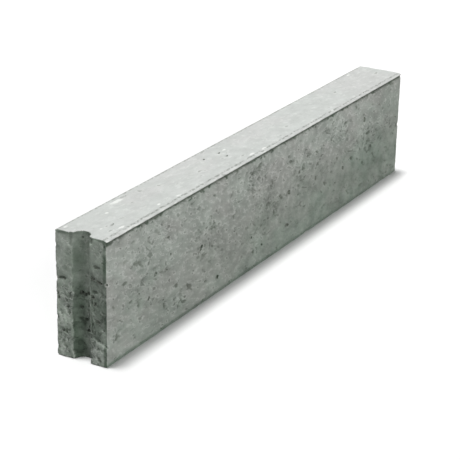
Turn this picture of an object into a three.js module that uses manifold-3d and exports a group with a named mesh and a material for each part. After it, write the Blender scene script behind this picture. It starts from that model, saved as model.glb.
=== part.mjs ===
// Concrete kerb stone: one solid, cast in a vibrating press and standing upright on its foot.
// Millimetres. +X runs along the stone, +Y across it and +Z up. The origin is the middle of
// the foot. The end at -X has an upright joint groove, and the end at +X is plain.
import * as THREE from 'three';
import { mergeVertices } from 'three/addons/utils/BufferGeometryUtils.js';
import Module from 'manifold-3d';

const wasm = await Module();
wasm.setup();

// Driving dimensions
const LENGTH = 1000;
const WIDTH = 90;               // over the lips, the widest part of the section
const HEIGHT = 200;

const LIP_PROUD = 1;            // how far each lip stands out from the side face below it
const LIP_LAND = 1.5;           // the upright edge of a lip
const LIP_SLOPE = 5;            // across the slope between that edge and the top face
const LIP_DROP = 2.5;           // how far the slope falls
const CREASE_HEIGHT = 2.5;      // the open crease in the side face, just below each lip
const CREASE_DEPTH = 1;
const FOOT_RADIUS = 2;          // the long edges that the stone stands on
const CORNER_RADIUS = 3;        // the upright corners of both ends

const GROOVE_MOUTH = 30;        // across the joint groove at the end face
const GROOVE_FLOOR = 18;        // across its floor
const GROOVE_DEPTH = 15;
const GROOVE_EDGE_RADIUS = 3;   // where its flanks meet the end face
const GROOVE_FLOOR_RADIUS = 6;  // where its flanks meet the floor

const ARC_SEGMENTS = 8;         // straight pieces in each rounded corner

// A corner of an outline. A radius of 0 leaves it sharp.
function corner(x, y, radius = 0) {
  return { point: new THREE.Vector2(x, y), radius };
}

// A closed outline through the corners, with an arc tangent to both edges at each rounded one.
// An arc takes at most half of an edge, so two arcs on one short edge still fit.
function roundedOutline(corners) {
  const outline = new THREE.Shape();
  corners.forEach(({ point, radius }, index) => {
    const before = corners.at(index - 1).point;
    const after = corners[(index + 1) % corners.length].point;
    const toBefore = before.clone().sub(point);
    const toAfter = after.clone().sub(point);
    const room = Math.min(toBefore.length(), toAfter.length()) / 2;
    const halfAngle = toBefore.angleTo(toAfter) / 2;
    const setback = Math.min(radius / Math.tan(halfAngle), room);
    const start = point.clone().addScaledVector(toBefore.normalize(), setback);
    const end = point.clone().addScaledVector(toAfter.normalize(), setback);
    if (index === 0) {
      outline.moveTo(start.x, start.y);
    } else {
      outline.lineTo(start.x, start.y);
    }
    if (setback > 0) {
      addArc(outline, point, start, end, halfAngle);
    }
  });
  outline.closePath();
  return outline;
}

// The arc from start to end that is tangent to the two edges meeting at the corner point.
function addArc(outline, point, start, end, halfAngle) {
  const radius = start.distanceTo(point) * Math.tan(halfAngle);
  const middle = start.clone().add(end).multiplyScalar(0.5);
  const towardsCentre = middle.clone().sub(point).normalize();
  const centre = point.clone().addScaledVector(towardsCentre, radius / Math.sin(halfAngle));
  const turn = start.clone().sub(point).cross(end.clone().sub(point));
  const startAngle = start.clone().sub(centre).angle();
  const endAngle = end.clone().sub(centre).angle();
  outline.absarc(centre.x, centre.y, radius, startAngle, endAngle, turn > 0);
}

// The outline, pushed up to the given height, as a solid.
function extrude(outline, height) {
  return new THREE.ExtrudeGeometry(outline, {
    depth: height,
    bevelEnabled: false,
    curveSegments: ARC_SEGMENTS,
  });
}

function toSolid(geometry) {
  const bare = geometry.clone();
  bare.deleteAttribute('normal');
  bare.deleteAttribute('uv');
  const merged = mergeVertices(bare);
  return new wasm.Manifold(new wasm.Mesh({
    numProp: 3,
    vertProperties: new Float32Array(merged.attributes.position.array),
    triVerts: new Uint32Array(merged.index.array),
  }));
}

function toGeometry(solid) {
  const mesh = solid.getMesh();
  const geometry = new THREE.BufferGeometry();
  geometry.setAttribute('position', new THREE.BufferAttribute(mesh.vertProperties, 3));
  geometry.setIndex(new THREE.BufferAttribute(mesh.triVerts, 1));
  geometry.computeVertexNormals();
  return geometry;
}

// A cross-section, drawn with x across the stone and y up, run along the whole length.
function alongStone(section) {
  const geometry = extrude(section, LENGTH);
  geometry.rotateX(Math.PI / 2);
  geometry.rotateZ(Math.PI / 2);
  geometry.translate(-LENGTH / 2, 0, 0);
  return toSolid(geometry);
}

// The stone seen from above at one width: upright corners rounded, and the groove let into
// the end at -X.
function planOutline(width) {
  const end = LENGTH / 2;
  const side = width / 2;
  const mouth = GROOVE_MOUTH / 2;
  const floor = GROOVE_FLOOR / 2;
  return roundedOutline([
    corner(end, -side, CORNER_RADIUS),
    corner(end, side, CORNER_RADIUS),
    corner(-end, side, CORNER_RADIUS),
    corner(-end, mouth, GROOVE_EDGE_RADIUS),
    corner(-end + GROOVE_DEPTH, floor, GROOVE_FLOOR_RADIUS),
    corner(-end + GROOVE_DEPTH, -floor, GROOVE_FLOOR_RADIUS),
    corner(-end, -mouth, GROOVE_EDGE_RADIUS),
    corner(-end, -side, CORNER_RADIUS),
  ]);
}

// A cross-section run along the stone and trimmed to the plan at its own width.
function stretch(section, width) {
  const plan = toSolid(extrude(planOutline(width), HEIGHT));
  return alongStone(section).intersect(plan);
}

// The underside of the lips, where the crease below each is deepest.
const UNDERSIDE = HEIGHT - LIP_DROP - LIP_LAND;
const NECK = WIDTH / 2 - LIP_PROUD - CREASE_DEPTH;

// The web below the lips. It reaches halfway up the head, so that the two join.
function web() {
  const side = WIDTH / 2 - LIP_PROUD;
  const top = (UNDERSIDE + HEIGHT) / 2;
  return stretch(roundedOutline([
    corner(-side, 0, FOOT_RADIUS),
    corner(side, 0, FOOT_RADIUS),
    corner(side, UNDERSIDE - CREASE_HEIGHT),
    corner(NECK, UNDERSIDE),
    corner(NECK, top),
    corner(-NECK, top),
    corner(-NECK, UNDERSIDE),
    corner(-side, UNDERSIDE - CREASE_HEIGHT),
  ]), 2 * side);
}

// The head that the press tamper forms: the top face, its slopes and the lip on each side.
function head() {
  const side = WIDTH / 2;
  const land = HEIGHT - LIP_DROP;
  return stretch(roundedOutline([
    corner(-NECK, UNDERSIDE),
    corner(NECK, UNDERSIDE),
    corner(side, UNDERSIDE + LIP_PROUD / 2),
    corner(side, land),
    corner(side - LIP_SLOPE, HEIGHT),
    corner(-side + LIP_SLOPE, HEIGHT),
    corner(-side, land),
    corner(-side, UNDERSIDE + LIP_PROUD / 2),
  ]), WIDTH);
}

const concrete = new THREE.MeshStandardMaterial({
  name: 'concrete',
  color: 0x9a9f97,
  roughness: 0.92,
  metalness: 0,
});

const kerbStone = new THREE.Mesh(toGeometry(web().add(head())), concrete);
kerbStone.name = 'kerb_stone';

const kerb = new THREE.Group();
kerb.name = 'kerb';
kerb.add(kerbStone);

export default kerb;
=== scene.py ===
import math
from types import SimpleNamespace

import bmesh
import bpy
from mathutils import Euler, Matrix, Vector


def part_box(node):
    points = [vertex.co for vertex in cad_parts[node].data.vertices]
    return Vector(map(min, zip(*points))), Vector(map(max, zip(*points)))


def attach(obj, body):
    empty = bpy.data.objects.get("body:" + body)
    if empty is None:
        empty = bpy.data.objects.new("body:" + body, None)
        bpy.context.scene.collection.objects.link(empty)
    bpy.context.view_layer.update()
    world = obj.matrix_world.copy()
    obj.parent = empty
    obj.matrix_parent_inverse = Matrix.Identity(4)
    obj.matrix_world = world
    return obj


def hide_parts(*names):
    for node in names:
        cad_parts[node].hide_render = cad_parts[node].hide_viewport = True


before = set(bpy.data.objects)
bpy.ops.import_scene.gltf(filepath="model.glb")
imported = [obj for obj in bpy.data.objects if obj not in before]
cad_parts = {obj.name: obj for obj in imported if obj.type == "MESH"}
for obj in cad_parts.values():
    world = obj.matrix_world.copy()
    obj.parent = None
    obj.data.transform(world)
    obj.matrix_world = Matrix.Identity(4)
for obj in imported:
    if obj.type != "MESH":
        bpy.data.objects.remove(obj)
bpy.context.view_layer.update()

MM = 0.001
SPARE = 5 * MM          # how far a cutting shape reaches past the stone
NEAR = 0.05 * MM        # two places closer than this are the same
FOOT_SEGMENTS = 4       # straight pieces in each rounded edge of the foot
UPRIGHT_SEGMENTS = 6    # and in each rounded upright edge

# The stone, standing on the floor with its joint groove at -X
LOW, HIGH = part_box("kerb_stone")
LENGTH, WIDTH = (HIGH - LOW).xy

# Its section and its groove, as in the kerb_stone solid
LIP_PROUD = 1 * MM
LIP_LAND = 1.5 * MM
LIP_SLOPE = 5 * MM
LIP_DROP = 2.5 * MM
CREASE_HEIGHT = 2.5 * MM
CREASE_DEPTH = 1 * MM
FOOT_RADIUS = 2 * MM
CORNER_RADIUS = 3 * MM
GROOVE_MOUTH = 30 * MM
GROOVE_FLOOR = 18 * MM
GROOVE_DEPTH = 15 * MM
GROOVE_EDGE_RADIUS = 3 * MM
GROOVE_FLOOR_RADIUS = 6 * MM
UNDERSIDE = HIGH.z - LIP_DROP - LIP_LAND
SIDE_FACE = WIDTH / 2 - LIP_PROUD

# The mesh
GRAIN_OF_MESH = 1.15 * MM
MOST_TRIANGLES = 198000

# Marks in the surface lie longer along the stone than across, and dip a little towards +X.
LONG_MARKS = (0.55, 1.0, 1.0)
MARKS_DIP = math.radians(16)

# Voids left in the casting, in millimetres: the middle, across and up the face that each is
# in, then its width, its height, its depth and how far it is turned.
SIDE_VOIDS = [
    (-400, 168, 9, 4, 2, 20), (-372, 159, 11, 4, 2, 50), (-339, 148, 18, 8, 3, 0),
    (-328, 118, 6, 8, 2, 0), (-399, 139, 6, 4, 2, 0), (-370, 101, 9, 7, 3, 10),
    (-339, 95, 10, 4, 2, 40), (-383, 95, 14, 4, 2, 0), (-316, 69, 9, 4, 2, 0),
    (-416, 85, 9, 5, 2, 30), (-389, 68, 10, 5, 2, 60), (-354, 51, 22, 5, 3, -15),
    (-289, 32, 9, 8, 2, 0), (-302, 24, 20, 5, 2, 20), (-437, 101, 6, 4, 2, 0),
    (-448, 76, 9, 4, 2, 0), (-482, 133, 10, 5, 2, 0), (-188, 29, 10, 10, 3, 0),
    (-241, 96, 20, 8, 3, 40), (-207, 72, 9, 4, 2, 0), (-262, 66, 6, 4, 2, 0),
    (-167, 49, 11, 5, 2, 0), (-300, 171, 15, 5, 2, 30), (-314, 186, 10, 4, 2, 0),
    (-251, 173, 9, 4, 2, 20), (-195, 119, 10, 7, 2, 0), (-433, 36, 14, 4, 2, 0),
    (-483, 68, 9, 8, 2, 20), (343, 147, 11, 15, 3, 5), (452, 104, 15, 4, 2, 20),
    (425, 98, 28, 4, 2, 20), (404, 108, 10, 5, 2, 0), (345, 117, 24, 5, 2, 30),
    (374, 88, 14, 8, 3, 0), (323, 104, 10, 5, 2, 0), (305, 96, 15, 4, 2, 25),
    (264, 91, 10, 10, 2, 0), (422, 81, 44, 4, 2, 15), (116, 133, 10, 7, 2, 0),
    (57, 146, 10, 5, 2, 0), (85, 122, 20, 5, 3, 30), (183, 94, 30, 4, 2, 15),
    (260, 79, 11, 10, 3, 0), (17, 147, 9, 7, 2, 0), (50, 97, 15, 10, 4, 0),
    (105, 79, 9, 4, 2, 0), (49, 39, 11, 7, 4, 0), (61, 42, 15, 5, 2, 40),
    (131, 3, 40, 5, 3, 10), (-80, 58, 14, 8, 3, 0), (-136, 89, 10, 5, 2, 0),
    (-73, 86, 9, 4, 2, 0), (-101, 166, 9, 10, 2, 0), (157, 29, 10, 8, 2, 0),
    (484, 12, 15, 10, 3, 0), (-42, 33, 9, 8, 2, 0), (228, 58, 11, 5, 2, 20),
]
END_VOIDS = [
    (35, 126, 26, 4, 5, -8), (45, 122, 7, 8, 7, 0), (-27, 156, 14, 4, 4, 5),
    (-21, 137, 12, 5, 4, 30), (-32, 133, 20, 4, 5, 14), (-43, 131, 7, 6, 5, 0),
    (21, 103, 5, 4, 3, 0), (-19, 107, 7, 6, 4, 0), (-28, 104, 6, 4, 3, 0),
    (-23, 97, 5, 8, 4, 30), (-21, 88, 6, 5, 3, 0), (-27, 70, 14, 5, 4, 8),
    (-16, 42, 10, 3, 3, 0), (-31, 39, 13, 3, 3, 20), (-41, 34, 7, 4, 3, 30),
    (33, 43, 7, 5, 4, 0), (22, 45, 6, 4, 3, 0), (24, 83, 7, 6, 3, 0),
    (-40, 190, 6, 5, 3, 0), (33, 60, 4, 4, 3, 0), (38, 74, 5, 6, 3, 0),
    (-38, 58, 6, 4, 3, 0), (-36, 86, 8, 4, 3, 20), (-17, 52, 5, 6, 3, 0),
    # the edges of the groove's mouth, just below the top
    (17, 191, 12, 30, 3, 8), (-16, 194, 8, 14, 4, 10),
]
GROOVE_VOIDS = [
    (9, 104, 7, 7, 5, 0), (3, 101, 7, 6, 5, 20), (-4, 104, 8, 5, 5, 0), (8, 80, 6, 5, 3, 0),
    (2, 62, 9, 4, 3, 0), (-3, 44, 9, 5, 3, 0), (6, 190, 6, 4, 2, 0),
]
# Where pits crowd on the side, in millimetres: the middle along and up, half the length, half
# the height.
PITTED_PATCHES = [
    (-355, 165, 48, 26), (-220, 105, 45, 45), (-406, 138, 34, 22), (-369, 104, 38, 12),
    (-406, 76, 45, 32), (-300, 31, 26, 16), (-68, 159, 48, 32), (-58, 61, 38, 36),
    (375, 108, 110, 32), (116, 129, 70, 38), (-30, 94, 50, 50), (225, 161, 60, 26),
    (441, 19, 45, 18),
]
TOP_VOIDS = [
    (-92, 13, 8, 4, 3, 0), (-96, -4, 8, 5, 3, 0), (-132, 18, 8, 5, 3, 0),
    (-40, -42, 16, 6, 3, 0), (-161, -40, 8, 4, 2, 0), (-340, 33, 14, 5, 3, -10),
    (-346, 41, 10, 4, 2, 0), (-443, -16, 13, 4, 3, 20), (-470, -2, 6, 3, 2, 0),
    (342, -38, 8, 5, 2, 0),
]
# Fresh pale flakes on the top, listed as the pitted patches are.
TOP_FLAKES = [
    (-29, -38, 10, 2), (-65, -35, 8, 3), (-75, 13, 5, 2),
    (214, -40, 7, 2), (423, 32, 8, 3), (-446, -34, 13, 2), (-466, -13, 5, 2), (-365, 29, 12, 4),
    (-412, 15, 4, 2), (-292, -35, 5, 3), (-487, 34, 5, 2), (-340, -30, 4, 2),
]


# ---------------------------------------------------------------- working by hand

def work_on(piece):
    bpy.ops.object.select_all(action="DESELECT")
    piece.select_set(True)
    bpy.context.view_layer.objects.active = piece


def edit(piece):
    work_on(piece)
    bpy.ops.object.mode_set(mode="EDIT")
    bpy.ops.mesh.select_mode(type="VERT")
    bpy.ops.mesh.select_all(action="SELECT")


def stop_editing():
    bpy.ops.object.mode_set(mode="OBJECT")


def select_where(piece, wanted):
    """Selects the points whose place passes the test, and the edges and faces between them."""
    bpy.ops.mesh.select_all(action="DESELECT")
    shape = bmesh.from_edit_mesh(piece.data)
    for point in shape.verts:
        point.select_set(wanted(point.co))
    shape.select_flush_mode()
    bmesh.update_edit_mesh(piece.data)


def cut_across(place, direction):
    """Cuts new edges where a plane crosses everything, and keeps both sides."""
    bpy.ops.mesh.select_all(action="SELECT")
    bpy.ops.mesh.bisect(plane_co=place, plane_no=direction)


def add_block(name, low, high):
    bpy.ops.object.select_all(action="DESELECT")
    bpy.ops.mesh.primitive_cube_add(size=1, location=(low + high) / 2)
    block = bpy.context.object
    block.name = name
    block.scale = high - low
    bpy.ops.object.transform_apply(location=True, rotation=True, scale=True)
    return block


def round_upright_edges(piece, radius, wanted):
    """Rounds the edges that run straight up, at the places that pass the test."""
    edit(piece)
    bpy.ops.mesh.select_mode(type="EDGE")
    bpy.ops.mesh.select_all(action="DESELECT")
    shape = bmesh.from_edit_mesh(piece.data)
    for edge in shape.edges:
        one, other = (point.co for point in edge.verts)
        upright = (one - other).xy.length < NEAR
        edge.select_set(upright and wanted(one))
    bmesh.update_edit_mesh(piece.data)
    bpy.ops.mesh.bevel(offset=radius, segments=UPRIGHT_SEGMENTS, affect="EDGES")
    stop_editing()


def apply_modifier(piece, modifier):
    work_on(piece)
    bpy.ops.object.modifier_apply(modifier=modifier.name)


def combine(piece, tool, operation):
    """Cuts the tool out of the piece, or keeps only what lies in both."""
    modifier = piece.modifiers.new("combine", "BOOLEAN")
    modifier.operation = operation
    modifier.solver = "EXACT"
    modifier.use_self = True
    modifier.object = tool
    apply_modifier(piece, modifier)
    bpy.data.objects.remove(tool)


# ---------------------------------------------------------------- the cast shape

def shape_section(stone):
    """The slopes of the top, the lip along each side and the crease and web below it."""
    outside = WIDTH / 2 - NEAR
    crease_foot = UNDERSIDE - CREASE_HEIGHT
    edit(stone)
    for across in (WIDTH / 2 - LIP_SLOPE, LIP_SLOPE - WIDTH / 2):
        cut_across((0, across, 0), (0, 1, 0))
    for height in (crease_foot, UNDERSIDE, UNDERSIDE + LIP_PROUD / 2):
        cut_across((0, 0, height), (0, 0, 1))
    select_where(stone, lambda p: p.z > HIGH.z - NEAR and abs(p.y) > outside)
    bpy.ops.transform.translate(value=(0, 0, -LIP_DROP))
    for width, lowest, highest in (
        (2 * SIDE_FACE, LOW.z, crease_foot),
        (2 * (SIDE_FACE - CREASE_DEPTH), UNDERSIDE, UNDERSIDE),
    ):
        select_where(
            stone, lambda p: lowest - NEAR < p.z < highest + NEAR and abs(p.y) > outside
        )
        bpy.ops.transform.resize(value=(1, width / WIDTH, 1), center_override=(0, 0, 0))
    select_where(stone, lambda p: p.z < LOW.z + NEAR)
    bpy.ops.mesh.select_mode(type="EDGE")
    bpy.ops.mesh.bevel(offset=FOOT_RADIUS, segments=FOOT_SEGMENTS, affect="EDGES")
    stop_editing()


def round_corners(stone):
    """Keeps what lies in a tall block with rounded upright edges."""
    reach = Vector((0, 0, SPARE))
    plan = add_block("plan", LOW - reach, HIGH + reach)
    round_upright_edges(plan, CORNER_RADIUS, lambda p: True)
    combine(stone, plan, "INTERSECT")


def cut_groove(stone):
    """The upright joint groove: a cutter that narrows inwards, with round inner corners."""
    low = Vector((LOW.x - SPARE, -GROOVE_MOUTH / 2, LOW.z - SPARE))
    high = Vector((LOW.x + GROOVE_DEPTH, GROOVE_MOUTH / 2, HIGH.z + SPARE))
    cutter = add_block("groove_cutter", low, high)
    edit(cutter)
    cut_across((LOW.x, 0, 0), (1, 0, 0))
    select_where(cutter, lambda p: p.x > high.x - NEAR)
    narrowed = GROOVE_FLOOR / GROOVE_MOUTH
    bpy.ops.transform.resize(value=(1, narrowed, 1), center_override=(0, 0, 0))
    stop_editing()
    round_upright_edges(cutter, GROOVE_FLOOR_RADIUS, lambda p: p.x > high.x - NEAR)
    combine(stone, cutter, "DIFFERENCE")
    mouth = GROOVE_MOUTH / 2 + NEAR
    round_upright_edges(
        stone, GROOVE_EDGE_RADIUS, lambda p: p.x < LOW.x + NEAR and abs(p.y) < mouth
    )


VOID_ROUNDNESS = 2      # how often the ball that makes a void is divided
VOID_KNOBS = 0.2        # how far its points are pushed about, as a share of its least size

# The faces that have voids: the list of them, the axes across and up the face, the axis that
# it faces along, where it lies on that axis, and which way its voids turn.
VOIDED_FACES = [
    (SIDE_VOIDS, 0, 2, 1, -SIDE_FACE, -1),
    (END_VOIDS, 1, 2, 0, LOW.x, 1),
    (GROOVE_VOIDS, 1, 2, 0, LOW.x + GROOVE_DEPTH, 1),
    (TOP_VOIDS, 0, 1, 2, HIGH.z, 1),
]


def add_lump(place, size, turn, seed):
    """A knobbly ball that leaves a void where it is cut out."""
    bpy.ops.mesh.primitive_ico_sphere_add(
        subdivisions=VOID_ROUNDNESS, radius=0.5, location=place
    )
    lump = bpy.context.object
    lump.scale = size
    lump.rotation_euler = turn
    bpy.ops.object.transform_apply(location=True, rotation=True, scale=True)
    edit(lump)
    bpy.ops.transform.vertex_random(offset=min(size) * VOID_KNOBS, seed=seed)
    stop_editing()
    return lump


def cut_voids(stone):
    """Cuts the voids out of the near side, the grooved end, the groove's floor and the top."""
    lumps = []
    for voids, across, up, out, face, turns in VOIDED_FACES:
        for middle_across, middle_up, width, height, depth, turn in voids:
            place, size, turned = [0, 0, 0], [0, 0, 0], [0, 0, 0]
            place[across], place[up], place[out] = middle_across * MM, middle_up * MM, face
            size[across], size[up], size[out] = width * MM, height * MM, 2 * depth * MM
            turned[out] = math.radians(turns * turn)
            lumps.append(add_lump(place, size, turned, len(lumps)))
    bpy.ops.object.select_all(action="DESELECT")
    for lump in lumps:
        lump.select_set(True)
    bpy.context.view_layer.objects.active = lumps[0]
    bpy.ops.object.join()
    combine(stone, lumps[0], "DIFFERENCE")


def cast_stone():
    stone = add_block("cast_stone", LOW, HIGH)
    shape_section(stone)
    round_corners(stone)
    cut_groove(stone)
    cut_voids(stone)
    return stone


def dice(stone):
    """Turns the shape into an even, fine mesh."""
    modifier = stone.modifiers.new("dice", "REMESH")
    modifier.mode = "VOXEL"
    modifier.voxel_size = GRAIN_OF_MESH
    apply_modifier(stone, modifier)


def thin_out(stone):
    """Joins the triangles of the smoother places, so that the rough ones keep theirs."""
    triangles = sum(len(face.vertices) - 2 for face in stone.data.polygons)
    modifier = stone.modifiers.new("thin", "DECIMATE")
    modifier.ratio = min(1, MOST_TRIANGLES / triangles)
    apply_modifier(stone, modifier)


# ---------------------------------------------------------------- node trees

FACES_APART = 3 * LENGTH                 # between the patterns of opposite faces


def add_node(tree, kind, inputs=None, **settings):
    """Adds a node. An input is given a value, or the output socket that feeds it."""
    node = tree.nodes.new(kind)
    for name, value in settings.items():
        setattr(node, name, value)
    for name, value in (inputs or {}).items():
        if isinstance(value, bpy.types.NodeSocket):
            tree.links.new(value, node.inputs[name])
        else:
            node.inputs[name].default_value = value
    return node


def maths(tree, operation, *values):
    settings = dict(enumerate(values))
    return add_node(tree, "ShaderNodeMath", settings, operation=operation).outputs[0]


def product(tree, first, *more):
    for value in more:
        first = maths(tree, "MULTIPLY", first, value)
    return first


def total(tree, first, *more):
    for value in more:
        first = maths(tree, "ADD", first, value)
    return first


def greatest(tree, first, *more):
    for value in more:
        first = maths(tree, "MAXIMUM", first, value)
    return first


def opposite(tree, value):
    return maths(tree, "SUBTRACT", 1.0, value)


def magnitude(tree, value):
    return maths(tree, "ABSOLUTE", value)


def vector_maths(tree, operation, *values, result="Vector"):
    settings = dict(enumerate(values))
    node = add_node(tree, "ShaderNodeVectorMath", settings, operation=operation)
    return node.outputs[result]


def scaled(tree, vector, factor):
    given = {0: vector, "Scale": factor}
    return add_node(tree, "ShaderNodeVectorMath", given, operation="SCALE").outputs[0]


def ramp(tree, value, start, end, low=0.0, high=1.0):
    """A smooth step from low to high as the value goes from start to end."""
    node = add_node(tree, "ShaderNodeMapRange", {
        "Value": value,
        "From Min": start,
        "From Max": end,
        "To Min": low,
        "To Max": high,
    }, interpolation_type="SMOOTHSTEP")
    return node.outputs["Result"]


def fade(tree, value, start, end):
    """A smooth step down from 1 at the start to 0 at the end."""
    return ramp(tree, value, start, end, 1.0, 0.0)


def past(place, border):
    """Where a soft border starts and ends, from how far past the place each lies."""
    return [place + distance for distance in border]


def noise(tree, place, size, detail=2.0, roughness=0.5):
    """Cloudy noise from 0 to 1, in patches of about the given size in metres."""
    node = add_node(tree, "ShaderNodeTexNoise", {
        "Vector": place,
        "Scale": 1 / size,
        "Detail": detail,
        "Roughness": roughness,
    })
    return node.outputs[0]


def swing(tree, value, reach=1.0):
    """A value from 0 to 1 as one from minus the reach to plus the reach."""
    return maths(tree, "MULTIPLY_ADD", value, 2.0 * reach, -reach)


def ragged(tree, value, place, size, reach, detail=3.0):
    """The value, raised and lowered by up to the reach with noise of the given size."""
    return total(tree, value, swing(tree, noise(tree, place, size, detail), reach))


def along_marks(tree, place):
    """The place, turned and squeezed so that noise there lies as the marks do."""
    turned = add_node(tree, "ShaderNodeVectorRotate", {
        "Vector": place, "Axis": (0, 1, 0), "Angle": -MARKS_DIP,
    })
    return vector_maths(tree, "MULTIPLY", turned.outputs[0], LONG_MARKS)


def on_face(tree, place, across, up, out):
    """The place on a flat face, by two of its three axes. Opposite faces are set apart, so that
    the same pattern doesn't come twice."""
    parts = add_node(tree, "ShaderNodeSeparateXYZ", {0: place}).outputs
    which = maths(tree, "SIGN", parts[out])
    shifted = maths(tree, "MULTIPLY_ADD", which, FACES_APART, parts[across])
    return add_node(tree, "ShaderNodeCombineXYZ", {0: shifted, 1: parts[up]}).outputs[0]


# ---------------------------------------------------------------- relief

# From here on, the numbers that a ramp is given are where it starts and ends and, unless it
# goes from 0 to 1, what it goes from and to. Those for noise are its size, its detail and its
# roughness, and those for a ragged value are the size, the reach and the detail of its noise.

NOISE_MIDDLE = (0.5, 0.5, 0.5)
SMOOTH = 1.0                             # the detail of noise without fine parts
SHAKE_SIZE = 0.6                         # as a share of a pock's size
SHAKE_REACH = 0.5                        # and so is this
POCK_WALL = (0.0, 0.12)
PATCH_BORDER = (0.65, 1.25)              # as shares of a patch's half length and half height
FAR_OUTSIDE = 10.0


def shaken(tree, place, size, reach):
    """The place, pushed about by noise of the given size, so that round shapes turn ragged."""
    push = add_node(tree, "ShaderNodeTexNoise", {
        "Vector": place, "Scale": 1 / size, "Detail": SMOOTH,
    })
    push = vector_maths(tree, "SUBTRACT", push.outputs["Color"], NOISE_MIDDLE)
    return vector_maths(tree, "ADD", place, scaled(tree, push, reach))


def pocked(tree, at, size, few, many):
    """Ragged pocks: 1 inside one, 0 outside. Few and many are how high the noise has to reach
    to make one, where crowd is 0 and where it is 1."""
    about = shaken(tree, at.grain, SHAKE_SIZE * size, SHAKE_REACH * size)
    level = ramp(tree, at.crowd, 0.0, 1.0, few, many)
    above = maths(tree, "SUBTRACT", noise(tree, about, size, SMOOTH), level)
    return ramp(tree, above, *POCK_WALL)


def patches(tree, at, on_plan, spots, rags):
    """1 inside the listed patches of a face and 0 outside, with ragged borders."""
    nearest = FAR_OUTSIDE
    for along, up, half_length, half_height in spots:
        apart = vector_maths(tree, "SUBTRACT", on_plan, (along * MM, up * MM, 0))
        reach = (half_length * MM, half_height * MM, 1)
        apart = vector_maths(tree, "DIVIDE", apart, reach)
        distance = vector_maths(tree, "LENGTH", apart, result="Value")
        nearest = maths(tree, "MINIMUM", nearest, distance)
    return fade(tree, ragged(tree, nearest, at.place, *rags), *PATCH_BORDER)


LEANING = (0.6, 0.8)                     # how far a face looks up or down
AVERAGING = 12                           # how many rounds of it
BULGE_AT_EDGE = (0.1 * MM, 1.2 * MM)


def read_surface(tree):
    """Each point of the mesh: its place, the way it faces, and how far it stands out from the
    average of its neighbours, which is only much near an edge."""
    at = SimpleNamespace()
    at.place = add_node(tree, "GeometryNodeInputPosition").outputs[0]
    at.facing = add_node(tree, "GeometryNodeInputNormal").outputs[0]
    at.x, at.y, at.z = add_node(tree, "ShaderNodeSeparateXYZ", {0: at.place}).outputs
    facing_x, _, facing_z = add_node(tree, "ShaderNodeSeparateXYZ", {0: at.facing}).outputs
    at.end_on = magnitude(tree, facing_x)
    at.upright = fade(tree, magnitude(tree, facing_z), *LEANING)
    at.from_middle = magnitude(tree, at.y)
    at.to_end = maths(tree, "SUBTRACT", LENGTH / 2, magnitude(tree, at.x))
    at.grain = along_marks(tree, at.place)
    at.on_side = on_face(tree, at.place, 0, 2, 1)
    at.on_end = on_face(tree, at.place, 1, 2, 0)

    softened = add_node(tree, "GeometryNodeBlurAttribute", {
        "Iterations": AVERAGING,
    }, data_type="FLOAT_VECTOR")
    value_input = [s for s in softened.inputs if s.name == "Value" and s.enabled][0]
    tree.links.new(at.place, value_input)
    blurred = [s for s in softened.outputs if s.enabled][0]
    apart = vector_maths(tree, "SUBTRACT", at.place, blurred)
    bulge = vector_maths(tree, "DOT_PRODUCT", apart, at.facing, result="Value")
    at.edge = ramp(tree, bulge, *BULGE_AT_EDGE)
    return at


END_ON = (0.5, 0.7)                      # how far a face looks along the stone
PAST_GROOVE_FLOOR = (0.4 * MM, 1 * MM)   # where the groove's zone fades, along the stone
PAST_GROOVE_MOUTH = (0.5 * MM, 2 * MM)   # and across it
PAST_UNDERSIDE = (-0.2 * MM, 0.4 * MM)   # where the head's zone starts, by the lips
HEIGHT_RAGS = (9 * MM, 7 * MM)
LOWER_PART = (106 * MM, 132 * MM)        # the heights at which it fades
CRACKS_SLANT = -0.3
LOW_CRACK = (45 * MM, 48 * MM)           # its height in the middle of the end
HIGH_CRACK = (140 * MM, 143 * MM)
RIGHT_OF_GROOVE = (0, 1 * MM)
LEAST_OPEN = 0.35                        # of the ends' other parts
LEAST_PITTED = 0.45                      # of the sides outside their patches
PITTED_RAGS = (25 * MM, 0.8)
FLAKE_RAGS = (9 * MM, 1.2)
CROWD_ALONG = (0.0, HIGH.x, 1.0, 0.85)
CROWD_IN_OPEN_END = 0.8


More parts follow.
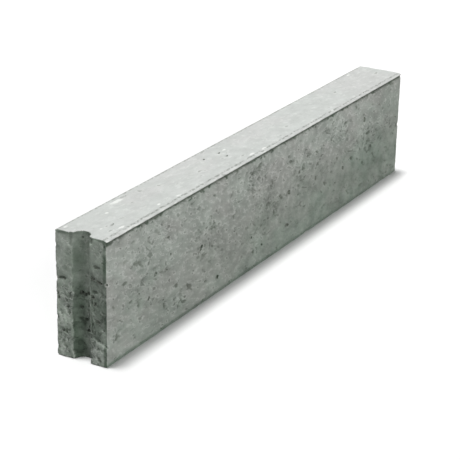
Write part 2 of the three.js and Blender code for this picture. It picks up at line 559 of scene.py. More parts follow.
def mark_zones(tree, at):
    """Each zone is 1 inside and 0 outside."""
    at_end = ramp(tree, at.end_on, *END_ON)
    in_depth = fade(tree, at.x, *past(LOW.x + GROOVE_DEPTH, PAST_GROOVE_FLOOR))
    in_width = fade(tree, at.from_middle, *past(GROOVE_MOUTH / 2, PAST_GROOVE_MOUTH))
    at.groove = product(tree, in_depth, in_width, at.upright)
    at.end = greatest(tree, at_end, at.groove)
    at.not_end = opposite(tree, at.end)
    above_crease = ramp(tree, at.z, *past(UNDERSIDE, PAST_UNDERSIDE))
    at.head = product(tree, above_crease, at.not_end)
    at.side = product(tree, opposite(tree, at.head), at.not_end)
    near_end = maths(tree, "LESS_THAN", at.x, 0.0)
    at.near_land = product(tree, at_end, near_end)

    # The lower part of the grooved end is open and rough, and so is most of the land on the
    # right, where a shallow piece has broken out between two slanting cracks.
    at.ragged_z = ragged(tree, at.z, at.on_end, *HEIGHT_RAGS)
    at.lower = product(tree, fade(tree, at.ragged_z, *LOWER_PART), near_end)
    slanting = maths(tree, "MULTIPLY_ADD", at.y, CRACKS_SLANT, at.ragged_z)
    on_right = fade(tree, at.y, *past(-GROOVE_MOUTH / 2, RIGHT_OF_GROOVE))
    at.right_land = product(tree, at.near_land, on_right)
    at.broken = product(
        tree, at.right_land, ramp(tree, slanting, *LOW_CRACK),
        fade(tree, slanting, *HIGH_CRACK),
    )
    at.open_end = product(tree, greatest(tree, at.lower, at.broken, LEAST_OPEN), at.end)

    # Where the sides are crumbly and pitted. The far side has the same patches, end for end.
    which_side = maths(tree, "SIGN", maths(tree, "MULTIPLY", at.y, -1.0))
    along = maths(tree, "MULTIPLY", at.x, which_side)
    side_plan = add_node(tree, "ShaderNodeCombineXYZ", {0: along, 1: at.z}).outputs[0]
    at.pitted = patches(tree, at, side_plan, PITTED_PATCHES, PITTED_RAGS)
    at.crowd = greatest(
        tree,
        product(
            tree, greatest(tree, at.pitted, LEAST_PITTED), at.side,
            ramp(tree, at.x, *CROWD_ALONG),
        ),
        product(tree, at.open_end, CROWD_IN_OPEN_END),
    )
    top_plan = add_node(tree, "ShaderNodeCombineXYZ", {0: at.x, 1: at.y}).outputs[0]
    flakes = patches(tree, at, top_plan, TOP_FLAKES, FLAKE_RAGS)
    at.flakes = product(tree, flakes, at.head)


WAVE_SIZE = 90 * MM
WAVE_REACH = 0.5 * MM
GRAIN = (7 * MM, 3.0, 0.6)
GRAIN_REACH = (0.0, 1.0, 0.3 * MM, 0.8 * MM)         # by how pitted a place is
CRUMBS = (12 * MM, 4.0, 0.6)
CRUMB_REACH = 1.8 * MM
CRUMBS_AT_EDGE = (0.0, 1.0, 1.0, 0.3)
BROKEN_DEPTH = 1.3 * MM
FLAKE_HEIGHT = 0.7 * MM


def shape_faces(tree, at):
    """How far the faces swell: waves everywhere, grain on the sides, crumbs on the ends."""
    wave = swing(tree, noise(tree, at.place, WAVE_SIZE), WAVE_REACH)
    grain_reach = product(tree, at.side, at.upright, ramp(tree, at.pitted, *GRAIN_REACH))
    grain = product(tree, swing(tree, noise(tree, at.grain, *GRAIN)), grain_reach)
    crumbs = swing(tree, noise(tree, at.on_end, *CRUMBS), CRUMB_REACH)
    crumbs = product(tree, crumbs, at.open_end, ramp(tree, at.edge, *CRUMBS_AT_EDGE))
    return maths(
        tree, "SUBTRACT", total(tree, wave, grain, crumbs),
        product(tree, at.broken, BROKEN_DEPTH),
    )


# Two kinds of pock: the size, how high the noise has to reach where pocks are few and where
# they crowd, the depth, and how dark their painted shade is.
POCKS = [
    (9.5 * MM, 0.665, 0.575, 1.2 * MM, 0.54),
    (12 * MM, 0.69, 0.608, 2.0 * MM, 0.8),
]


def shape_pocks(tree, at):
    """How deep the pocks are and how dark their painted shade is. They crowd in patches on the
    sides and in the open parts of the ends."""
    rough_part = product(tree, greatest(tree, at.side, at.open_end), at.upright)
    depths, shades = [], []
    for size, few, many, depth, shade in POCKS:
        pock = product(tree, pocked(tree, at, size, few, many), rough_part)
        depths.append(product(tree, pock, depth))
        shades.append(product(tree, pock, shade))
    return greatest(tree, *depths), greatest(tree, *shades)


TORN = (30 * MM, 4.0, 0.6)
TORN_PARTS = (0.45, 0.62)
DRIPS = (13 * MM, 2.0)
DRIP_PARTS = (0.54, 0.64)
DRIPS_ALONG = (LOW.x, HIGH.x, 6 * MM, 3.5 * MM)
CREASE_RAGS = (9 * MM, 2.0 * MM)
CREASE_START = 0.6 * MM                  # above the lips' underside
CREASE_REACH = (0.0, 1.0, 6.0 * MM, 8.5 * MM)        # whole and torn
CREASE_END = (0.4, 1.0)                  # as shares of its reach
TORN_DEPTH = (0.0, 1.0, 1.8 * MM, 2.8 * MM)
CORE_EDGE = (2.5 * MM, 5.5 * MM)         # of its black core of painted shade, below the lip
CORE_DARK = (16 * MM, 3.0)
CORE_DARK_PARTS = (0.42, 0.58, 0.4, 1.1)
CORE_BY_FAR_END = (300 * MM, 400 * MM)


def tear_crease(tree, at):
    """The crease below each lip, torn open in places and more so by the grooved end: where it
    is, and how deep. It also lays a black line of painted shade right below the lip."""
    torn = ramp(tree, noise(tree, at.on_side, *TORN), *TORN_PARTS)
    drips = ramp(tree, noise(tree, at.place, *DRIPS), *DRIP_PARTS)
    drips = product(tree, drips, ramp(tree, at.x, *DRIPS_ALONG))
    height = ragged(tree, at.z, at.place, *CREASE_RAGS)
    below_lip = maths(tree, "SUBTRACT", UNDERSIDE + CREASE_START, height)
    reach = total(tree, drips, ramp(tree, torn, *CREASE_REACH))
    share = maths(tree, "DIVIDE", below_lip, reach)
    crease = product(tree, fade(tree, share, *CREASE_END), at.side)
    darkest = ramp(tree, noise(tree, at.on_side, *CORE_DARK), *CORE_DARK_PARTS)
    darkest = greatest(tree, darkest, ramp(tree, at.x, *CORE_BY_FAR_END))
    core = fade(tree, maths(tree, "SUBTRACT", below_lip, drips), *CORE_EDGE)
    at.black_line = product(tree, core, darkest, at.side)
    return crease, product(tree, crease, ramp(tree, torn, *TORN_DEPTH))


WEAR = 3.2 * MM
WEAR_BY_END = (2 * MM, 14 * MM, 0.75, 0.35)
WEAR_BY_FOOT = (2 * MM, 14 * MM, 0.2, 1.0)
WEAR_ON_LEFT = (34 * MM, 42 * MM, 1.0, 0.5)
CHIPS = (12 * MM, 3.0)
CHIPPED_PARTS = (0.48, 0.7, 0.15, 1.0)


def wear_edges(tree, at):
    """How far the edges are worn and chipped back."""
    at.chip = ramp(tree, noise(tree, at.place, *CHIPS), *CHIPPED_PARTS)
    return product(
        tree, at.edge, ramp(tree, at.to_end, *WEAR_BY_END), at.chip,
        ramp(tree, at.z, *WEAR_BY_FOOT), ramp(tree, at.y, *WEAR_ON_LEFT), WEAR,
    )


BEFORE_EDGE = (-1 * MM, 0)               # the last of a flat face, before its edge
TOP_SHADE = 1.5                          # how much deeper a void in the top counts, for a darker painted shade
NO_VOID = 0.5 * MM                       # up to here a depth doesn't count
FULL_VOID = 5.1 * MM                     # and this much deeper it counts in full
UNDER_LIP_SHADE = 0.8


def find_voids(tree, at):
    """How deep a place lies in a void, from 0 to 1, for the painted shade there. The voids were
    cut before, and are known by how far they lie behind the flat faces."""
    behind_side = product(tree, maths(tree, "SUBTRACT", SIDE_FACE, at.from_middle), at.side)
    behind_end = product(tree, at.to_end, at.end, opposite(tree, at.groove))
    flat_top = fade(tree, at.from_middle, *past(WIDTH / 2 - LIP_SLOPE, BEFORE_EDGE))
    below_top = maths(tree, "SUBTRACT", HIGH.z, at.z)
    behind_top = product(tree, below_top, at.head, flat_top, TOP_SHADE)
    behind = greatest(tree, behind_side, behind_end, behind_top)
    return maths(tree, "DIVIDE", maths(tree, "SUBTRACT", behind, NO_VOID), FULL_VOID)


def shape_relief(tree, at):
    """How far each point moves outwards, and its painted shade from 0 to 1: in voids, pocks,
    the crease and on the upright face of each lip.
    """
    pocks, pock_shade = shape_pocks(tree, at)
    crease, crease_depth = tear_crease(tree, at)
    outwards = shape_faces(tree, at)
    outwards = maths(tree, "SUBTRACT", outwards, greatest(tree, pocks, crease_depth))
    outwards = maths(tree, "SUBTRACT", outwards, wear_edges(tree, at))
    outwards = total(tree, outwards, product(tree, at.flakes, FLAKE_HEIGHT))
    # Painted shade on the upright face of each lip, below its slope.
    below_land = fade(tree, at.z, *past(HIGH.z - LIP_DROP, BEFORE_EDGE))
    under_lip = product(tree, below_land, at.head, UNDER_LIP_SHADE)
    return outwards, greatest(tree, find_voids(tree, at), pock_shade, crease, under_lip)


# ---------------------------------------------------------------- dirt, painted shade and fresh flakes

DIRT_AND_SHADE_CLOUD = (22 * MM, 3.0)
DIRT_AND_SHADE_STRENGTH = (0.35, 0.65, 0.85, 1.15)
UNSTEADY = (12 * MM, 4.0, 0.7)
UNSTEADY_REACH = 3 * MM
MOST_DIRT_AND_SHADE = 1.15

GROOVE_BY_HEIGHT = (60 * MM, 150 * MM, 0.63, 0.46)
GROOVE_BY_TOP = (168 * MM, 190 * MM, 1.0, 0.6)
GROOVE_ACROSS = (-6 * MM, 10 * MM, 0.65, 1.5)
MOUTH_RAGS = (10 * MM, 4 * MM, 4.0)
PAST_MOUTH = (-1 * MM, 2 * MM)


def soil_and_shade_groove(tree, at):
    """The groove carries painted shade and some dirt: darker on its left flank and lower down,
    and lighter just below the top, where light reaches in.
    """
    ragged_y = ragged(tree, at.from_middle, at.place, *MOUTH_RAGS)
    in_mouth = fade(tree, ragged_y, *past(GROOVE_MOUTH / 2, PAST_MOUTH))
    return product(
        tree, greatest(tree, at.near_land, at.groove), in_mouth,
        ramp(tree, at.ragged_z, *GROOVE_BY_HEIGHT), ramp(tree, at.ragged_z, *GROOVE_BY_TOP),
        ramp(tree, at.y, *GROOVE_ACROSS),
    )


RIGHT_LINE = (5.5 * MM, 8.5 * MM, 0.98, 0.0)         # from the end's right edge
RIGHT_LINE_GAPS = (26 * MM, 3.0)
RIGHT_LINE_STRENGTH = (0.38, 0.50, 0.76, 1.0)
TOP_LINE = (3 * MM, 5.5 * MM, 0.75, 0.0)             # from its top edge
TOP_LINE_UNSTEADY = 1.5
BROKEN_DIRT = 0.7
RIGHT_LAND_ABOVE = (150 * MM, 180 * MM, 0.5, 0.16)
RIGHT_LAND_BELOW = (12 * MM, 32 * MM, -0.28, 0.08)
LEFT_LAND = (12 * MM, 15 * MM)
LEFT_BY_GROOVE = (17 * MM, 32 * MM, 0.38, 0.0)
LEFT_CRACK_FOOT = (100 * MM, 112 * MM)
LEFT_CRACK_TOP = (130 * MM, 144 * MM, 0.4, 0.0)
LOWER_CLOUDS = (0.4, 0.6, 0.0, 0.35)
BLOTCHES = (15 * MM, 4.0, 0.6)
BLOTCHED_PARTS = (0.47, 0.6, 0.0, 0.42)


def soil_end(tree, at, cloud, unsteady):
    """The grooved end is dirty over the broken land, by the left crack and in blotches, and
    darker beside the groove and in thin lines along its right and top edges."""
    from_right = total(tree, at.y, WIDTH / 2, unsteady)
    right_line = product(
        tree, ramp(tree, from_right, *RIGHT_LINE),
        ramp(tree, noise(tree, at.place, *RIGHT_LINE_GAPS), *RIGHT_LINE_STRENGTH),
    )
    right_land = product(tree, at.right_land, total(
        tree, ramp(tree, at.ragged_z, *RIGHT_LAND_ABOVE),
        ramp(tree, at.ragged_z, *RIGHT_LAND_BELOW),
    ))
    on_left = ramp(tree, at.y, *LEFT_LAND)
    by_crack = product(
        tree, on_left, ramp(tree, at.ragged_z, *LEFT_CRACK_FOOT),
        ramp(tree, at.ragged_z, *LEFT_CRACK_TOP),
    )
    on_land = greatest(
        tree, product(tree, at.broken, BROKEN_DIRT), right_land, right_line,
        product(tree, at.lower, ramp(tree, cloud, *LOWER_CLOUDS)),
        product(tree, on_left, ramp(tree, at.y, *LEFT_BY_GROOVE)), by_crack,
        ramp(tree, noise(tree, at.place, *BLOTCHES), *BLOTCHED_PARTS),
    )
    below_top = maths(tree, "SUBTRACT", HIGH.z, at.z)
    from_top = total(tree, below_top, product(tree, unsteady, TOP_LINE_UNSTEADY))
    top_line = product(tree, ramp(tree, from_top, *TOP_LINE), at.end)
    return greatest(tree, product(tree, on_land, at.near_land), top_line)


SIDE_DARKENING = (45 * MM, 175 * MM)
DARKENING_AT_FOOT = (LOW.x, HIGH.x, 0.4, 0.82)            # along the stone
DARKENING_AT_TOP = (220 * MM, 490 * MM, 0.15, 0.34)
BAND_FOOT = (40 * MM, 70 * MM)
BAND_TOP = (125 * MM, 165 * MM, 1.0, 0.25)
BAND_DIRT = 0.15
BAND_END = (150 * MM, 350 * MM)
# A thin painted contact shade along the foot of each side.
FOOT_SHADE_LINE = (4.5 * MM, 7.5 * MM, 1.6, 0.0)
FOOT_SHADE_UNSTEADY = 0.6


def soil_and_shade_sides(tree, at, unsteady):
    """The sides are darker towards the foot, damper in a band halfway up where they are pitted,
    and carry a thin painted contact shade along the foot.
    """
    at_foot = ramp(tree, at.x, *DARKENING_AT_FOOT)
    at_top = ramp(tree, at.x, *DARKENING_AT_TOP)
    band = product(tree, ramp(tree, at.z, *BAND_FOOT), ramp(tree, at.z, *BAND_TOP))
    down_side = total(
        tree, ramp(tree, at.z, *SIDE_DARKENING, at_foot, at_top),
        product(tree, band, at.pitted, BAND_DIRT, fade(tree, at.x, *BAND_END)),
    )
    foot = total(tree, at.z, product(tree, unsteady, FOOT_SHADE_UNSTEADY))
    return product(tree, greatest(tree, down_side, ramp(tree, foot, *FOOT_SHADE_LINE)), at.side)


def lay_dirt_and_shade(tree, at):
    """Dirt, damp and painted shade: 0 on clean stone, and 1 or a little more where they are
    thickest.
    """
    cloud = noise(tree, at.place, *DIRT_AND_SHADE_CLOUD)
    unsteady = swing(tree, noise(tree, at.place, *UNSTEADY), UNSTEADY_REACH)
    # Real dirt and damp are joined here with painted shade in the groove, under the lips and
    # along the foot.
    dirtied_and_shaded = greatest(
        tree, soil_and_shade_groove(tree, at), soil_end(tree, at, cloud, unsteady),
        soil_and_shade_sides(tree, at, unsteady), at.black_line,
    )
    dirtied_and_shaded = product(tree, dirtied_and_shaded, ramp(tree, cloud, *DIRT_AND_SHADE_STRENGTH))
    return maths(tree, "MINIMUM", dirtied_and_shaded, MOST_DIRT_AND_SHADE)


FLAKING = (8 * MM, 3.0)
FLAKED_PARTS = (0.47, 0.62)
FLAKES_ALONG = (-470 * MM, -200 * MM, 1.0, 0.6)
SLOPE_RAGS = (14 * MM, 1.5 * MM)
OUTER_SLOPE = (-2.8 * MM, -2 * MM)
FRESH_EDGE = 0.7
FRESH_FLAKE = 0.85


def find_fresh(tree, at):
    """Pale fresh flakes, from 0 to 1: on worn edges, on the outer part of the slopes, and in
    spots on the top."""
    ragged_y = ragged(tree, at.from_middle, at.place, *SLOPE_RAGS)
    pale_slope = product(
        tree, ramp(tree, ragged_y, *past(WIDTH / 2, OUTER_SLOPE)),
        ramp(tree, noise(tree, at.place, *FLAKING), *FLAKED_PARTS),
        ramp(tree, at.x, *FLAKES_ALONG),
    )
    return greatest(
        tree, product(tree, at.edge, at.chip, at.not_end, FRESH_EDGE),
        product(tree, pale_slope, at.head),
        product(tree, at.flakes, FRESH_FLAKE),
    )


def roughen(stone, finishes):
    """Gives the even mesh its cast surface and its three finishes. Leaves four attributes for
    them, in turn: how deep each place lies in a void, for the painted shade there, in creases
    and on the lips' upright faces; where dirt, damp and painted shade darken the stone; where
    small holes crowd; and where it has freshly flaked."""
    tree = bpy.data.node_groups.new("cast_surface", "GeometryNodeTree")
    tree.interface.new_socket("Geometry", in_out="INPUT", socket_type="NodeSocketGeometry")
    tree.interface.new_socket("Geometry", in_out="OUTPUT", socket_type="NodeSocketGeometry")
    given = add_node(tree, "NodeGroupInput")
    result = add_node(tree, "NodeGroupOutput")

    at = read_surface(tree)
    mark_zones(tree, at)
    outwards, hollow_shade = shape_relief(tree, at)
    attributes = {
        "hollow_shade": hollow_shade,
        "dirt_and_shade": lay_dirt_and_shade(tree, at),
        "crowd": at.crowd,
        "paleness": find_fresh(tree, at),
    }
    coated = given
    for name, value in attributes.items():
        coated = add_node(tree, "GeometryNodeStoreNamedAttribute", {
            "Geometry": coated.outputs[0], "Name": name, "Value": value,
        }, data_type="FLOAT", domain="POINT")
    for name, zone in (("side", None), ("head", at.head), ("end", at.end)):
        choice = {"Geometry": coated.outputs[0], "Material": finishes[name]}
        if zone is not None:
            choice["Selection"] = maths(tree, "GREATER_THAN", zone, 0.5)
        coated = add_node(tree, "GeometryNodeSetMaterial", choice)
    moved = add_node(tree, "GeometryNodeSetPosition", {
        "Geometry": coated.outputs[0], "Offset": scaled(tree, at.facing, outwards),
    })
    tree.links.new(moved.outputs[0], result.inputs[0])

    modifier = stone.modifiers.new("surface", "NODES")
    modifier.node_group = tree
    apply_modifier(stone, modifier)


# ---------------------------------------------------------------- finishes

MIX_COLOURS = (6, 7)                     # where a Mix node takes its two colours
MIX_RESULT = 2                           # and where it gives theirs


def group(name, inputs, outputs):
    """An empty shader node group with the given sockets. Returns it and its two end nodes."""
    tree = bpy.data.node_groups.new(name, "ShaderNodeTree")
    for title, kind in inputs:
        tree.interface.new_socket(title, in_out="INPUT", socket_type="NodeSocket" + kind)
    for title, kind in outputs:
        tree.interface.new_socket(title, in_out="OUTPUT", socket_type="NodeSocket" + kind)
    return tree, add_node(tree, "NodeGroupInput"), add_node(tree, "NodeGroupOutput")


def mixed(tree, share, first, second, blend="MIX"):
    """Two colours mixed: the share of the second goes from 0 to 1."""
    node = add_node(tree, "ShaderNodeMix", {0: share}, data_type="RGBA", blend_type=blend)
    for socket, value in zip(MIX_COLOURS, (first, second)):
        if isinstance(value, bpy.types.NodeSocket):
            tree.links.new(value, node.inputs[socket])
        else:
            node.inputs[socket].default_value = (*value, 1)
    return node.outputs[MIX_RESULT]


MOTTLE_CLOUD = (30 * MM, 6.0, 0.8)
MIDDLE_TONE = 0.5
DRIFT = (95 * MM, 3.0, 0.6)
GRIT = (2.4 * MM, 3.0, 0.7)
SPECK_SIZE = 6.5 * MM
SPECKED_PARTS = (0.6, 0.68)


def make_mottle():
    """Cloudy unevenness at many sizes at once, as a tone about 0.5, slow drifts of hue, grit
    and small specks."""
    tree, given, result = group(
        "mottle", [("Place", "Vector"), ("Fineness", "Float"), ("Contrast", "Float")],
        [("Tone", "Float"), ("Drift", "Float"), ("Grit", "Float"), ("Specks", "Float")],
    )
    place, fineness, contrast = given.outputs[:3]
    finer = scaled(tree, place, fineness)
    cloud = swing(tree, noise(tree, finer, *MOTTLE_CLOUD))
    made = {
        "Tone": maths(tree, "MULTIPLY_ADD", cloud, contrast, MIDDLE_TONE),
        "Drift": noise(tree, place, *DRIFT),
        "Grit": noise(tree, place, *GRIT),
        "Specks": ramp(tree, noise(tree, finer, SPECK_SIZE), *SPECKED_PARTS),
    }
    for title, value in made.items():
        tree.links.new(value, result.inputs[title])
    return tree


SMALL_POCK_SIZE = 7 * MM
SMALL_POCK_SHAKE = (3 * MM, 2.5 * MM)
SMALL_POCK_LEVEL = (0.0, 1.0, 0.68, 0.57)
SMALL_POCK_WALL = (0.0, 0.11)
RIM_OUTSIDE = (-0.1, -0.02)
RIM_INSIDE = (0.0, 0.03)


def make_pocks():
    """Small ragged pocks: Pock is 1 inside one, and the second output just round one, for a
    painted highlight on the rim. Crowd goes from 0 where they are few to 1 where they crowd."""
    tree, given, result = group(
        "pocks", [("Place", "Vector"), ("Fineness", "Float"), ("Crowd", "Float")],
        [("Pock", "Float"), ("Rim_Highlight", "Float")],
    )
    place, fineness, crowd = given.outputs[:3]
    about = shaken(tree, scaled(tree, place, fineness), *SMALL_POCK_SHAKE)
    lump = noise(tree, about, SMALL_POCK_SIZE, SMOOTH)
    above = maths(tree, "SUBTRACT", lump, ramp(tree, crowd, *SMALL_POCK_LEVEL))
    tree.links.new(ramp(tree, above, *SMALL_POCK_WALL), result.inputs["Pock"])
    rim_highlight = product(tree, ramp(tree, above, *RIM_OUTSIDE), fade(tree, above, *RIM_INSIDE))
    tree.links.new(rim_highlight, result.inputs["Rim_Highlight"])
    return tree


# The paler tint of fresh flakes and of painted highlights round pocks.
PALE_TINT = (0.92, 0.935, 0.90)
PALE_SHARE = 0.7
# The tint of the painted shade in voids, pocks, creases and on the lips' upright faces.
HOLLOW_SHADE_TINT = (0.42, 0.435, 0.405)
HOLLOW_DEPTHS = (0.05, 1.05)


def make_weathering_and_shade():
    """Takes clean concrete to its colour where dirt, damp and painted shade lie, darker again
    with the painted shade of voids, and paler on fresh flakes and on painted highlights round
    pocks.
    The second colour is the tint that full dirt and painted shade give."""
    tree, given, result = group(
        "weathering_and_shade",
        [("Clean", "Color"), ("Dirt_And_Shade_Tint", "Color"), ("Dirt_And_Shade", "Float"), ("Hollow_Shade", "Float"),
         ("Paleness", "Float")],
        [("Color", "Color")],
    )
    clean, dirt_and_shade_tint, dirt_and_shade, hollow_shade, paleness = given.outputs[:5]
    dirtied_and_shaded = mixed(tree, dirt_and_shade, clean, dirt_and_shade_tint, "MULTIPLY")
    paled = mixed(tree, product(tree, paleness, PALE_SHARE), dirtied_and_shaded, PALE_TINT)
    # Painted shade in voids, pocks, creases and on the lips' upright faces.
    shaded = mixed(tree, ramp(tree, hollow_shade, *HOLLOW_DEPTHS), paled, HOLLOW_SHADE_TINT, "MULTIPLY")
    tree.links.new(shaded, result.inputs["Color"])
    return tree


# The three finishes. Pale and dark are the two ends of the mottling, drift is the tint that it
# drifts to, and the last tint is that of full dirt and painted shade.
TAMPED_TOP = SimpleNamespace(
    name="tamped_top",
    pale=(0.725, 0.735, 0.72), dark=(0.35, 0.36, 0.345),
    drift=(0.98, 1.0, 0.99), dirt_and_shade_tint=(0.6, 0.63, 0.6),
    mottle_fineness=1.6, contrast=0.6,
    pock_fineness=0.7, pock_depth=0.4 * MM, grit_depth=0.15 * MM,
)
MOULDED_SIDE = SimpleNamespace(
    name="moulded_side",
    pale=(0.80, 0.81, 0.765), dark=(0.21, 0.214, 0.199),
    drift=(0.945, 1.0, 0.975), dirt_and_shade_tint=(0.46, 0.54, 0.48),
    mottle_fineness=1.0, contrast=0.68,
    pock_fineness=0.95, pock_depth=0.6 * MM, grit_depth=0.3 * MM,
)
OPEN_END = SimpleNamespace(
    name="open_end",
    pale=(0.77, 0.85, 0.76), dark=(0.156, 0.173, 0.154),
    drift=(0.97, 1.0, 0.97), dirt_and_shade_tint=(0.20, 0.24, 0.205),
    mottle_fineness=1.0, contrast=0.85,
    pock_fineness=1.1, pock_depth=0.6 * MM, grit_depth=0.45 * MM,
)

SCORE_PLACE = WIDTH / 2 - 5.4 * MM       # from the middle of the top
SCORE_RAGS = (16 * MM, 2.0 * MM)
SCORE_WIDTH = (0.8 * MM, 3.0 * MM)
SCORE_GAPS = (4 * MM, 3.0, 0.6)
SCORE_STRENGTH = (0.42, 0.58, 0.3, 1.3)
EVEN_CONTRAST = 0.75                     # times the finish's own, where pits are few
CROWDED_CONTRAST = 1.25                  # and where they crowd
DRIFTING = (0.42, 0.58)
RIM_HIGHLIGHTS = (0.0, 0.5, 0.2, 0.42)        # painted highlights round small pocks, by how pits crowd
PALE_SPECKS = 0.26
CLEAN_ENOUGH = (0.2, 0.8)                # how much dirt and painted shade hide the painted rim highlights and the specks
POCK_SHADE = 0.55
DULLNESS = (0.2, 0.8, 0.96, 0.82)        # by the tone of the mottling
SHINE = 0.25


def scored(tree, place, grain):
    """1 in a thin broken line along each side of the top, and 0 elsewhere."""
    across = magnitude(tree, add_node(tree, "ShaderNodeSeparateXYZ", {0: place}).outputs[1])
    across = ragged(tree, across, place, *SCORE_RAGS)
    apart = magnitude(tree, maths(tree, "SUBTRACT", across, SCORE_PLACE))
    return product(
        tree, fade(tree, apart, *SCORE_WIDTH),
        ramp(tree, noise(tree, grain, *SCORE_GAPS), *SCORE_STRENGTH),
    )


def concrete(look, groups, has_score=False):
    """A dull cement finish, which may have a scored line along each side."""
    material = bpy.data.materials.new(look.name)
    material.use_nodes = True
    tree = material.node_tree
    tree.nodes.clear()
    place = add_node(tree, "ShaderNodeTexCoord").outputs["Object"]
    grain = along_marks(tree, place)
    hollow_shade, dirt_and_shade, crowd, paleness = (
        add_node(tree, "ShaderNodeAttribute", attribute_name=title).outputs["Fac"]
        for title in ("hollow_shade", "dirt_and_shade", "crowd", "paleness")
    )
    contrast = ramp(
        tree, crowd, 0.0, 1.0, EVEN_CONTRAST * look.contrast, CROWDED_CONTRAST * look.contrast
    )
    mottle = add_node(tree, "ShaderNodeGroup", {
        "Place": grain, "Fineness": look.mottle_fineness, "Contrast": contrast,
    }, node_tree=groups["mottle"]).outputs
    pocks = add_node(tree, "ShaderNodeGroup", {
        "Place": grain, "Fineness": look.pock_fineness, "Crowd": crowd,
    }, node_tree=groups["pocks"]).outputs
    pock = pocks["Pock"]
    if has_score:
        pock = greatest(tree, pock, scored(tree, place, grain))

    # Painted highlights on the rims round small pocks, and pale specks, fade where dirt and
    # painted shade lie; they make the stone paler as fresh flakes do.
    rim_highlights = product(tree, pocks["Rim_Highlight"], ramp(tree, crowd, *RIM_HIGHLIGHTS))
    specks = product(tree, mottle["Specks"], crowd, PALE_SPECKS)
    highlights_and_specks = product(tree, greatest(tree, rim_highlights, specks), fade(tree, dirt_and_shade, *CLEAN_ENOUGH))
    clean = mixed(tree, mottle["Tone"], look.dark, look.pale)
    clean = mixed(tree, ramp(tree, mottle["Drift"], *DRIFTING), clean, look.drift, "MULTIPLY")
    # Small pocks and the scored line are darkened with painted shade.
    weathering_and_shade = add_node(tree, "ShaderNodeGroup", {
        "Clean": clean, "Dirt_And_Shade_Tint": (*look.dirt_and_shade_tint, 1), "Dirt_And_Shade": dirt_and_shade,
        "Hollow_Shade": greatest(tree, hollow_shade, product(tree, pock, POCK_SHADE)),
        "Paleness": greatest(tree, paleness, highlights_and_specks),
    }, node_tree=groups["weathering_and_shade"])
    height = maths(
        tree, "SUBTRACT", product(tree, mottle["Grit"], look.grit_depth),
        product(tree, pock, look.pock_depth),
    )
    bump = add_node(tree, "ShaderNodeBump", {"Height": height, "Distance": 1.0, "Strength": 1.0})
    surface = add_node(tree, "ShaderNodeBsdfPrincipled", {
        "Base Color": weathering_and_shade.outputs["Color"],
        "Roughness": ramp(tree, mottle["Tone"], *DULLNESS),
        "Normal": bump.outputs[0],
        "Specular IOR Level": SHINE,
    })
    output = add_node(tree, "ShaderNodeOutputMaterial")
    tree.links.new(surface.outputs[0], output.inputs["Surface"])
    return material


def stone_finishes():
    """The top that the press smooths, the moulded sides, and the open ends."""
    groups = {"mottle": make_mottle(), "pocks": make_pocks(), "weathering_and_shade": make_weathering_and_shade()}
    return {
        "head": concrete(TAMPED_TOP, groups, has_score=True),
        "side": concrete(MOULDED_SIDE, groups),
        "end": concrete(OPEN_END, groups),
    }


# ---------------------------------------------------------------- floor, light and camera

FLOOR_SIZE = 12.0
FLOOR_WHITE = (0.94, 0.94, 0.94)         # to the camera
FLOOR_GREY = (0.30, 0.30, 0.30)          # to the light that it throws back
ROOM_WHITE = (1, 1, 1, 1)
ROOM_LIGHT = 0.14
KEY_POWER = 2.45                         # from above, for the top and the shadow
KEY_FROM = Vector((-0.05, 0.09, 1.0))
KEY_SPREAD = math.radians(9)
FILL_POWER = 1.50                        # from the right of the camera, for the side
FILL_FROM = Vector((-0.45, -0.85, 0.30))
FILL_SPREAD = math.radians(50)
BACK_POWER = 1.0                         # weak, from behind, for the far side
BACK_FROM = Vector((0.55, 0.80, 0.35))
BACK_SPREAD = math.radians(60)
CAMERA_PLACE = Vector((-2.1888, -1.2023, 1.0476))
CAMERA_AIM = Vector((-0.1552, -0.0475, 0.1000))
CAMERA_ROLL = math.radians(1.23)
CAMERA_LENS = 123.61
CAMERA_REACH = 50                        # how far it sees, in metres


def looked_at(tree):
    """1 for rays from the camera and for what they show in a mirror or through glass."""
    rays = add_node(tree, "ShaderNodeLightPath").outputs
    return greatest(
        tree, rays["Is Camera Ray"], rays["Is Glossy Ray"], rays["Is Transmission Ray"]
    )


def floor_finish():
    """White under the camera, and a quiet grey to everything that the floor lights."""
    material = bpy.data.materials.new("pale_floor")
    material.use_nodes = True
    tree = material.node_tree
    tree.nodes.clear()
    seen = mixed(tree, looked_at(tree), FLOOR_GREY, FLOOR_WHITE)
    surface = add_node(tree, "ShaderNodeBsdfDiffuse", {"Color": seen})
    clear = add_node(tree, "ShaderNodeBsdfTransparent")
    below = add_node(tree, "ShaderNodeNewGeometry").outputs["Backfacing"]
    both = add_node(tree, "ShaderNodeMixShader", {
        0: below, 1: surface.outputs[0], 2: clear.outputs[0],
    })
    output = add_node(tree, "ShaderNodeOutputMaterial")
    tree.links.new(both.outputs[0], output.inputs["Surface"])
    return material


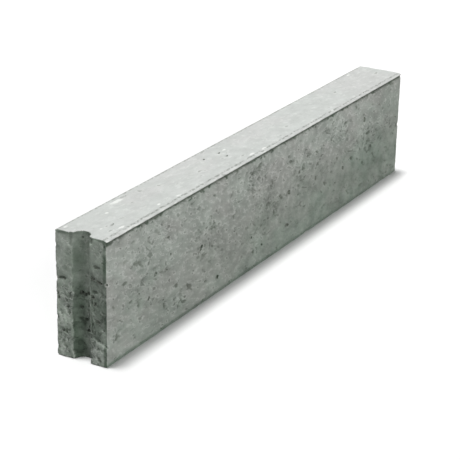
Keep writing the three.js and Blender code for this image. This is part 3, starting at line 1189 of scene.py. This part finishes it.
def add_floor():
    bpy.ops.object.select_all(action="DESELECT")
    bpy.ops.mesh.primitive_plane_add(size=FLOOR_SIZE, location=(0, 0, LOW.z))
    floor = bpy.context.object
    floor.name = "floor"
    bpy.ops.object.transform_apply(location=True, rotation=True, scale=True)
    floor.data.materials.append(floor_finish())


def light_the_room():
    world = bpy.data.worlds.new("studio")
    bpy.context.scene.world = world
    world.use_nodes = True
    tree = world.node_tree
    tree.nodes.clear()
    dim = add_node(tree, "ShaderNodeBackground", {"Color": ROOM_WHITE, "Strength": ROOM_LIGHT})
    white = add_node(tree, "ShaderNodeBackground", {"Color": ROOM_WHITE, "Strength": 1.0})
    both = add_node(tree, "ShaderNodeMixShader", {
        0: looked_at(tree), 1: dim.outputs[0], 2: white.outputs[0],
    })
    output = add_node(tree, "ShaderNodeOutputWorld")
    tree.links.new(both.outputs[0], output.inputs["Surface"])


def add_far_lamp(name, towards, power, spread):
    """A lamp so far off that its light is parallel. The spread softens its shadows."""
    lamp = bpy.data.lights.new(name, "SUN")
    lamp.energy = power
    lamp.angle = spread
    lamp_object = bpy.data.objects.new(name, lamp)
    bpy.context.scene.collection.objects.link(lamp_object)
    lamp_object.rotation_euler = (-towards).to_track_quat("-Z", "Y").to_euler()


def add_camera():
    lens = bpy.data.cameras.new("camera")
    lens.lens = CAMERA_LENS
    lens.clip_end = CAMERA_REACH
    camera = bpy.data.objects.new("camera", lens)
    bpy.context.scene.collection.objects.link(camera)
    camera.location = CAMERA_PLACE
    aim = (CAMERA_AIM - CAMERA_PLACE).to_track_quat("-Z", "Y").to_matrix()
    camera.rotation_euler = (aim @ Euler((0, 0, CAMERA_ROLL)).to_matrix()).to_euler()
    bpy.context.scene.camera = camera


# ---------------------------------------------------------------- all together

stone = cast_stone()
dice(stone)
roughen(stone, stone_finishes())
thin_out(stone)
work_on(stone)
bpy.ops.object.shade_smooth()
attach(stone, "root")
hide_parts("kerb_stone")

add_floor()
light_the_room()
add_far_lamp("key", KEY_FROM, KEY_POWER, KEY_SPREAD)
add_far_lamp("fill", FILL_FROM, FILL_POWER, FILL_SPREAD)
add_far_lamp("back", BACK_FROM, BACK_POWER, BACK_SPREAD)
add_camera()
bpy.context.scene.view_settings.view_transform = "Standard"
